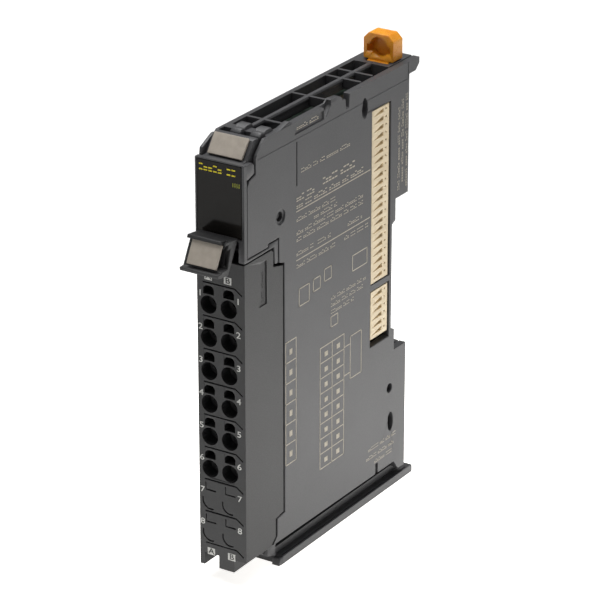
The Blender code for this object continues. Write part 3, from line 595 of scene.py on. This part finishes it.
def make_tray():
    """Left-hand tray: catches for the module before it, a rib on top, a grooved guide below."""
    catches = []
    for y, z in CATCH_MIDDLES:
        outline = [(y - 0.6, z), (y, z + 1.8), (y + 0.6, z), (y, z - 1.8)]
        catches.append((outline, LEFT_FACE - 0.9, LEFT_FACE + 0.5))
    panel = boxes([((LEFT_FACE - 1, 20.0, 30.0), (LEFT_FACE + 0.2, 46.0, 76.0))])
    rib = rods([((-0.8, 12.9, 99.5), (-0.8, 60.6, 99.5), 0.66)], 24)
    nose = prisms([([(12.7, 0.1), (14.6, 0.1), (14.6, 1.7), (13.1, 1.7)], 4.05, HALF - 0.02)])
    groove = boxes([((5.3, 14.6, 1.35), (HALF - 0.4, 66.5, 2.6))])
    mesh = worked(cad_shape("case_left"), adds=[prisms(catches), rib, nose], cuts=[panel, groove])
    piece("tray_shell", mesh, CASE, "case", ["case_left"], edge=CASE_EDGE)


def make_bezel():
    """Front frame with two snap lugs behind the marker and a cheek on its left."""
    lug = [(7.9, 97.4), (7.9, 100.0), (8.7, 100.7), (9.7, 100.5), (10.4, 100.9), (12.2, 100.9), (13.1, 100.0),
           (13.1, 98.4)]
    lugs = prisms([(lug, -2.7, -0.1), (lug, 2.1, 4.7)])
    cheek = [(1.2, 96.0), (1.5, 97.9), (5.6, 99.8), (6.5, 99.8), (6.5, 96.0)]
    mesh = worked(cad_shape("front_bezel"), adds=[lugs, prisms([(cheek, LEFT_FACE + 0.1, -5.1)])])
    piece("bezel_frame", mesh, CASE, "case", ["front_bezel"], edge=0.24)


def make_window():
    """Smoked window: a polished plate with softly rolled edges."""
    low, high = reach("display_window")
    mesh = boxes([(low, high)])
    piece("window_plate", mesh, WINDOW, "case", ["display_window"],
          edge=0.3, segments=4)


def make_markers():
    """The two clip-in marker plates."""
    piece("upper_marker_plate", cad_shape("unit_marker"), MARKER, "case", ["unit_marker"],
          edge=0.12)
    narrow = cad_shape("lever_marker")
    narrow.transform(Matrix.Diagonal((0.88, 1.0, 1.0, 1.0)))
    piece("lever_marker_plate", narrow, MARKER, "lever", ["lever_marker"], edge=0.12)


# ------------------------------------------------------------------------------ the bus sockets
WAY_PITCH = 1.8             # from one contact to the next
SOCKET_EDGE = 0.06


def way_heights(node):
    """Middle heights of the contacts in a socket or plug, from its top down."""
    low, high = reach(node)
    count = round((high.z - low.z) / WAY_PITCH - 0.3)
    return [high.z - WAY_PITCH * (way + 0.65) for way in range(count)]


def make_socket(row):
    """Ivory socket: a wedge-shaped throat and a small test hole for each contact."""
    low, high = reach(f"bus_socket_{row}")
    heights = way_heights(f"bus_socket_{row}")
    throats = []
    holes = []
    blades = []
    for z in heights:
        wedge = [(low.y + 0.7, z - 0.34), (low.y + 4.7, z - 0.34),
                 (low.y + 4.7, z + 0.58), (low.y + 4.2, z + 0.58)]
        throats.append((wedge, high.x - 1.7, high.x + 1))
        holes.append(((high.x - 1.2, low.y + 5.5, z + 0.02), (high.x + 1, low.y + 6.0, z + 0.4)))
        blades.append(((high.x - 1.75, low.y + 1.0, z - 0.32), (high.x - 1.45, low.y + 4.6, z + 0.4)))
    body = boxes([(low, high)])
    mesh = worked(body, cuts=[prisms(throats), boxes(holes)])
    piece(f"{row}_socket", mesh, IVORY, "case", [f"bus_socket_{row}"], edge=SOCKET_EDGE)
    piece(f"{row}_socket_blades", boxes(blades), GILT, "case", [f"socket_contacts_{row}"],
          edge=0.05)


def make_plug(row):
    """Ivory plug on the left, and its spring fingers, each one a bent gilt strip."""
    low, high = reach(f"bus_plug_{row}")
    crest = reach(f"bus_fingers_{row}")[0].x
    heights = way_heights(f"bus_plug_{row}")
    slots = [((low.x - 1, low.y + 0.5, z - 0.5), (high.x - 0.35, high.y - 0.5, z + 0.5)) for z in heights]
    mesh = worked(boxes([(low, high)]), cuts=[boxes(slots)])
    piece(f"{row}_plug", mesh, IVORY, "case", [f"bus_plug_{row}"], edge=SOCKET_EDGE)
    middle = (low.y + high.y) / 2
    radius = 1.3
    top = arc((crest + radius + 0.1, middle), radius, 230, 130)
    route = [(high.x - 1.8, middle - 2.3), (-4.7, middle - 2.3), *top,
             (-4.7, middle + 2.3), (-4.2, middle + 2.4)]
    fingers = [(strip_outline(route, 0.2), z - 0.26, z + 0.26) for z in heights]
    piece(f"{row}_finger_springs", prisms(fingers, "Z"), GILT, f"{row}_fingers",
          [f"bus_fingers_{row}"], edge=0.04)


# --------------------------------------------------------------------------------- the rail hook
TAB_HALF = 3.75
TAB_DEPTH = 3.85            # from its front to the hook's back
TAB_CHAMFER = 1.3
TAB_LOWER = 0.75            # how much lower its top is than the CAD hook's
POCKET_DEPTH = 2.2


def make_rail_hook():
    """Orange slider with its pull tab: a chamfered block with an arched pocket for a driver."""
    low, high = reach("din_hook")
    front = high.y - TAB_DEPTH
    floor = front + POCKET_DEPTH
    top = high.z - TAB_LOWER
    shoulder = top - TAB_CHAMFER
    inner = TAB_HALF - TAB_CHAMFER
    tab = [(-TAB_HALF, 100.2), (TAB_HALF, 100.2), (TAB_HALF, shoulder), (inner, top), (-inner, top),
           (-TAB_HALF, shoulder)]
    slot = boxes([((-2.95, low.y - 1, 101.7), (2.95, floor, 103.5))])
    arch = rods([((0.0, low.y - 1, 103.1), (0.0, floor, 103.1), 2.3)], 40)
    above = boxes([((-5.0, low.y - 1, 100.6), (5.0, high.y + 1, high.z + 1))])
    before = boxes([((-5.0, low.y - 1, 99.9), (5.0, front, 101.0))])
    stem = worked(cad_shape("din_hook"), cuts=[above, before])
    mesh = worked(stem, adds=[prisms([(tab, front, high.y - 0.03)], "Y")], cuts=[slot, arch])
    piece("rail_hook_slider", mesh, ORANGE, "rail_hook", ["din_hook"],
          edge=0.2, segments=3)


# --------------------------------------------------------------------------- the terminal block
ENTRY_RADIUS = 2.02
ENTRY_DEPTH = 3.3           # how far a wire entry runs straight
RELEASE_MIDDLE = 3.45       # the release hole's middle, above the wire's axis
RELEASE_HALF = 1.35
RELEASE_TOP = 4.2           # the top of its arch, above the wire's axis
ARCH_RADIUS = 1.0
LEDGE_RISE = 4.9            # the groove over each row, above its wires' axis
GROOVE_WIDE = 0.28
GROOVE_DEEP = 0.5


def groove(route):
    """A narrow groove in the front face along a route of (X, Z) points."""
    return strip_outline(route, GROOVE_WIDE), -1.0, GROOVE_DEEP


def ledge_groove(z):
    """The line over one row, with its drop at the right."""
    top = z + LEDGE_RISE
    return groove([(-4.45, top), (3.5, top), (5.25, top - 1.25)])


def blank_marks(x, z):
    """The traces of a way that is left blank: part of its circle and two sides of its square."""
    circle = groove(arc((x, z), ENTRY_RADIUS, 165, 290, 20))
    square = groove([(x - 1.2, z + 4.2), (x - 1.2, z + 2.45), (x + 1.3, z + 2.45)])
    return [circle, square]


def release_arches():
    """What fills the top of each release hole to an arch."""
    arches = []
    for x, z in POLES.values():
        spring = z + RELEASE_TOP - ARCH_RADIUS
        off = RELEASE_HALF - ARCH_RADIUS
        left = arc((x - off, spring), ARCH_RADIUS, 90, 180, 6)
        right = arc((x + off, spring), ARCH_RADIUS, 0, 90, 6)
        side, top = RELEASE_HALF + 0.15, z + RELEASE_MIDDLE + 1.3
        frame_corners = [(x - side, spring), (x - side, top), (x + side, top), (x + side, spring)]
        arches.append(([*frame_corners, *right, *left], 0.05, 4.5))
    return prisms(arches, "Y")


def make_block():
    """Terminal block housing: grooved and blanked rows, straight entries, side panel, slanted foot corner."""
    entries = [((x, -1.0, z), (x, ENTRY_DEPTH, z), ENTRY_RADIUS) for x, z in POLES.values()]
    lines = [ledge_groove(z) for z in (*ROW_HEIGHTS, *BLANK_HEIGHTS, BLANK_HEIGHTS[-1] - ROW_PITCH)]
    for z in BLANK_HEIGHTS:
        lines += [*blank_marks(LEFT_COLUMN, z), *blank_marks(RIGHT_COLUMN, z)]
    face = BLOCK_HALF + 1
    panel = boxes([((BLOCK_HALF - 0.22, 5.6, 63.4), (face, 8.4, 73.2))])
    foot_corner = prisms([([(4.6, 2.2), (6.2, 5.0), (6.2, 2.2)], -1.0, 9.0)], "Y")
    mesh = worked(cad_shape("block_housing"), adds=[release_arches()],
                  cuts=[rods(entries, 40), prisms(lines, "Y"), panel, foot_corner])
    piece("block_shell", mesh, BLOCK, "terminal_block", ["block_housing"], edge=0.1)


def make_carrier():
    """The insert in the block's back."""
    piece("carrier_insert", cad_shape("contact_carrier"), BLOCK, "terminal_block",
          ["contact_carrier"], edge=0.1)


def make_lever():
    """Lock lever, open between its marker and its right wall."""
    low, high = reach("lock_lever")
    slot = boxes([((3.62, low.y - 1, 75.6), (4.35, -3.2, high.z + 1))])
    mesh = worked(cad_shape("lock_lever"), cuts=[slot])
    piece("lever_body", mesh, BLOCK, "lever", ["lock_lever"], edge=0.14)


SPRING_STRIP = 0.25         # thickness of the arm's strip
LEG_STRIP = 0.2


def make_clamp_springs():
    """Each clamp spring: the leg and bend stay in the block, the arm turns with its clamp."""
    legs = {"a": [], "b": []}
    for body, (x, z) in POLES.items():
        name = body.split("_")[-1]
        bend = arc((4.5, z - 1.93), 0.22, 270, 90, 6)
        leg = [(9.8, z - 2.07), *bend]
        legs[name[0]].append((strip_outline(leg, LEG_STRIP), x - 0.95, x + 0.95))
        arm = [(4.5, z - 1.72), (6.0, z - 0.76), (7.4, z + 0.2), (8.3, z + 0.86)]
        strip = prisms([(strip_outline(arm, SPRING_STRIP), x - 0.9, x + 0.9)])
        piece(f"clamp_spring_arm_{name}", strip, STEEL, body, [f"clamp_arm_{name}"],
              edge=0.05)
    for column, outlines in legs.items():
        piece(f"clamp_spring_legs_{column}", prisms(outlines), STEEL, "terminal_block",
              [f"clamp_anchors_{column}"], edge=0.04)


# ----------------------------------------------------------------------------------- the print
FILM = 0.02                 # how far the ink stands proud
RULE = 0.22                 # width of a printed rule
WORDS = random.Random(11)   # the same blank words in every run
DASH = 0.2                  # thickness of a dash, and below its length and pitch, in line heights
DASH_LONG = 0.62
DASH_PITCH = 0.8
WORD_GAP = 0.7
SMALL = 0.85                # height of the side's usual line of print


def side_bar(y, z, long, tall):
    """One printed bar on the right side, from its lower front corner."""
    return ((HALF - 0.03, y, z), (HALF + FILM, y + long, z + tall))


def side_frame(y, z, long, tall):
    """A printed rectangle of four rules."""
    return [side_bar(y, z, long, RULE), side_bar(y, z + tall - RULE, long, RULE),
            side_bar(y, z, RULE, tall), side_bar(y + long - RULE, z, RULE, tall)]


def dashes(start, end, level, tall):
    """A line of print that says nothing: pairs of short level dashes, grouped into words."""
    strokes = []
    at = start
    while at < end - tall:
        for _ in range(WORDS.randint(3, 7)):
            wide = tall * DASH_LONG
            if at + wide > end:
                break
            for rise in (0.0, WORDS.choice((0.42, 0.8))):
                strokes.append(((at, level + tall * rise), (wide, tall * DASH)))
            at += tall * DASH_PITCH
        at += tall * WORD_GAP
    return strokes


def side_lines(lines):
    """Lines of blank print along the side, from (start, end, level, height)."""
    bars = []
    for start, end, level, tall in lines:
        bars += [side_bar(y, z, long, high) for (y, z), (long, high) in dashes(start, end, level, tall)]
    return bars


def upright_lines(lines):
    """The same, turned to read upwards, from (depth, bottom, top, height)."""
    bars = []
    for depth, low, high, tall in lines:
        for (z, off), (long, wide) in dashes(low, high, 0.0, tall):
            bars.append(side_bar(depth - off - wide, z, wide, long))
    return bars


def table(y, top, columns, rows, wide, tall):
    """An empty printed table."""
    bars = [side_bar(y, top - tall * row, wide * columns + RULE, RULE) for row in range(rows + 1)]
    bars += [side_bar(y + wide * column, top - tall * rows, RULE, tall * rows)
             for column in range(columns + 1)]
    return bars


def make_side_print():
    """Rules, empty tables and lines of blank print on the right side."""
    rules = [side_bar(19.6, 80.0, 29.6, RULE), side_bar(19.6, 69.0, 29.6, RULE)]
    text = side_lines([
        (21.5, 41.0, 88.3, SMALL), (30.0, 43.0, 82.9, 1.5), (19.7, 26.8, 82.3, 1.3), (19.7, 47.0, 80.7, 1.1),
        (19.7, 35.0, 77.8, SMALL), (26.5, 36.0, 76.3, SMALL), (19.7, 46.8, 74.8, SMALL),
        (19.7, 46.8, 73.3, SMALL),
        (19.7, 26.4, 70.1, SMALL), (28.0, 33.6, 70.1, SMALL), (40.0, 46.5, 70.1, SMALL),
        (19.7, 35.0, 67.3, SMALL), (38.6, 48.6, 67.3, SMALL),
        (33.4, 48.0, 55.2, 0.8), (33.4, 46.5, 53.6, 0.8), (33.4, 43.0, 52.0, 0.8), (49.3, 61.5, 12.6, 0.8),
        (48.5, 60.5, 10.6, 0.8), (52.0, 60.0, 8.8, 0.8)])
    upright = upright_lines([(61.4, 71.5, 91.0, 0.75), (62.9, 73.0, 92.5, 0.75), (64.6, 71.5, 93.5, 0.75)])
    marks = [*side_frame(20.6, 58.2, 4.2, 4.2), *side_frame(26.2, 59.6, 3.0, 3.0),
             *side_frame(30.6, 60.4, 3.0, 3.0),
             *side_frame(42.0, 58.8, 6.2, 3.8), *side_frame(33.3, 48.8, 3.0, 2.6)]
    bars = rules + text + upright + marks
    narrow_rows, wide_rows = 4.77, 3.6         # height of a row in each table
    bars += table(15.3, 51.6, 1, 6, 4.1, narrow_rows)
    bars += table(29.0, 45.3, 2, 8, 4.85, wide_rows)
    bars += side_frame(41.3, 33.6, 4.8, 10.3)
    bars += [side_bar(38.9, 42.0, 2.5, RULE), side_bar(38.9, 35.2, 2.5, RULE)]
    for row in range(6):
        bars.append(side_bar(16.9, 48.5 - narrow_rows * row, 1.1, 1.3))
    for row in range(8):
        for y in (30.9, 35.8):
            bars.append(side_bar(y, 42.9 - wide_rows * row, 1.3, 1.1))
    piece("side_print", boxes(bars), GREY_INK, "case")
    recessed = [((HALF - 0.43, y, z), (HALF - 0.38, y + long, z + high))
                for (y, z), (long, high) in dashes(20.4, 29.2, 97.9, 0.9)]
    piece("edge_print", boxes(recessed), GREY_INK, "case")


def make_panel_print():
    """Blank print in the recessed panel on the block's side."""
    bars = []
    for (z, off), (long, wide) in dashes(64.2, 72.4, 0.0, 0.8):
        bars.append(((BLOCK_HALF - 0.25, 7.4 - off - wide, z), (BLOCK_HALF - 0.19, 7.4 - off, z + long)))
    piece("panel_print", boxes(bars), BLACK_INK, "terminal_block")


GLYPH_WIDE = 1.22           # the print is this much wider than the font
CAPITAL = 0.7               # a capital's height in font sizes


def glyph(text, x, z, tall):
    """One character as a thin solid on the block's front face, centred on a point."""
    curve = bpy.data.curves.new("glyph", "FONT")
    curve.body = text
    curve.size = tall / CAPITAL
    curve.extrude = 0.015
    curve.offset = 0.012
    curve.align_x = "CENTER"
    curve.align_y = "CENTER"
    obj = bpy.data.objects.new("glyph", curve)
    bpy.context.scene.collection.objects.link(obj)
    mesh = evaluated(obj)
    bpy.data.objects.remove(obj)
    bpy.data.curves.remove(curve)
    place = Matrix.Translation((x, -0.01, z)) @ Matrix.Rotation(math.pi / 2, 4, "X")
    mesh.transform(place @ Matrix.Diagonal((GLYPH_WIDE, 1.0, 1.0, 1.0)))
    return mesh


def merged(meshes):
    """Several meshes as one."""
    bm = bmesh.new()
    for mesh in meshes:
        bm.from_mesh(mesh)
        bpy.data.meshes.remove(mesh)
    bmesh.ops.remove_doubles(bm, verts=bm.verts, dist=0.001)
    return as_mesh(bm)


DIGIT_COLUMNS = (-5.1, 4.35)
DIGIT_RISE = 2.2            # a digit's middle, above its row's wire axis
DIGIT_TALL = 1.35
TILE = (1.85, 1.6)          # width and height
TILE_HEIGHTS = (70.5, 6.85)


def make_front_print():
    """Row numbers down both sides of the block, and the column letters on their tiles."""
    digits = []
    for number, z in enumerate(ROW_HEIGHTS + BLANK_HEIGHTS, 1):
        for x in DIGIT_COLUMNS:
            digits.append(glyph(str(number), x, z + DIGIT_RISE, DIGIT_TALL))
    piece("row_numbers", merged(digits), WHITE_INK, "terminal_block")
    tiles = []
    marks = []
    columns = (("A", LEFT_COLUMN, LEFT_COLUMN), ("B", RIGHT_COLUMN - 0.2, RIGHT_COLUMN + 0.2))
    for letter, upper, lower in columns:
        for z, x in zip(TILE_HEIGHTS, (upper, lower)):
            wide, tall = TILE[0] / 2, TILE[1] / 2
            tiles.append(((x - wide, -FILM, z - tall), (x + wide, 0.05, z + tall)))
            marks.append(glyph(letter, x, z, 1.25))
    on_tiles = merged(marks)
    on_tiles.transform(Matrix.Translation((0.0, -0.025, 0.0)))
    piece("column_tiles", boxes(tiles), WHITE_INK, "terminal_block")
    piece("column_letters", on_tiles, BLACK_INK, "terminal_block")


def make_window_print():
    """Plain yellow marks at the top of the window, and four dim bars for the indicator."""
    front = reach("display_window")[0].y
    bars = [((x, front - FILM, z), (x + wide, front + 0.05, z + tall))
            for (x, z), (wide, tall) in dashes(-5.0, 4.2, 93.75, 1.45)]
    piece("window_bars", boxes(bars), YELLOW_INK, "case")
    dim = boxes([((x, front - FILM, 91.45), (x + 0.2, front + 0.05, 92.35)) for x in (3.2, 3.7, 4.2, 4.7)])
    piece("indicator_bar", dim, DIM_INK, "case")


# ----------------------------------------------------------------------------------- the studio
def make_floor():
    """A wide pale sheet that the module stands on."""
    level = CAD_BOX[0].z
    bm = bmesh.new()
    bmesh.ops.create_grid(bm, x_segments=8, y_segments=8, size=6.0, matrix=Matrix.Translation((0, 0, level)))
    mesh = as_mesh(bm)
    mesh.materials.append(pale_paper())
    floor = bpy.data.objects.new("floor", mesh)
    bpy.context.scene.collection.objects.link(floor)


def softbox(name, place, wide, power):
    """A square studio light, its width in metres, aimed at the middle of the module."""
    middle = (CAD_BOX[0] + CAD_BOX[1]) / 2
    light = bpy.data.lights.new(name, "AREA")
    light.shape = "SQUARE"
    light.size = wide
    light.energy = power
    obj = bpy.data.objects.new(name, light)
    obj.location = place
    obj.rotation_mode = "QUATERNION"
    obj.rotation_quaternion = (middle - Vector(place)).to_track_quat("-Z", "Y")
    bpy.context.scene.collection.objects.link(obj)


def make_studio():
    """A soft light overhead, one behind on the right, a weak one in front, and a grey surround."""
    softbox("overhead", (-0.1, 0.1, 0.9), 0.9, 13.0)
    softbox("right", (0.7, 0.7, 0.5), 0.5, 0.9)
    softbox("front", (-0.3, -1.1, 0.5), 0.8, 1.0)
    world = bpy.data.worlds.new("surround")
    world.use_nodes = True
    back = world.node_tree.nodes["Background"]
    back.inputs["Color"].default_value = linear("F8F7F5")
    back.inputs["Strength"].default_value = 0.17
    bpy.context.scene.world = world
    bpy.context.scene.view_settings.view_transform = "Standard"


AZIMUTH = math.radians(32.53)
ELEVATION = math.radians(23.01)
CAMERA_PLACE = Vector((0.35125, -0.57896, 0.28057))
FOCAL_LENGTH = 198.34       # in millimetres, on a sensor this wide
SENSOR = 36.0


def make_camera():
    """A long lens from the front right, looking down at the module."""
    camera = bpy.data.cameras.new("camera")
    camera.sensor_width = SENSOR
    camera.lens = FOCAL_LENGTH
    camera.clip_start = 0.05
    camera.clip_end = 30.0
    back = Vector((math.sin(AZIMUTH) * math.cos(ELEVATION), -math.cos(AZIMUTH) * math.cos(ELEVATION),
                   math.sin(ELEVATION)))
    right = Vector((math.cos(AZIMUTH), math.sin(AZIMUTH), 0.0))
    turn = Matrix((right, back.cross(right), back)).transposed()
    obj = bpy.data.objects.new("camera", camera)
    obj.matrix_world = Matrix.Translation(CAMERA_PLACE) @ turn.to_4x4()
    bpy.context.scene.collection.objects.link(obj)
    bpy.context.scene.camera = obj


make_camera()
make_studio()
make_floor()
dress_cad_nodes()
make_cover()
make_tray()
make_bezel()
make_window()
make_markers()
for row_name in ("signal", "power"):
    make_socket(row_name)
    make_plug(row_name)
make_rail_hook()
make_block()
make_carrier()
make_lever()
make_clamp_springs()
make_side_print()
make_panel_print()
make_front_print()
make_window_print()
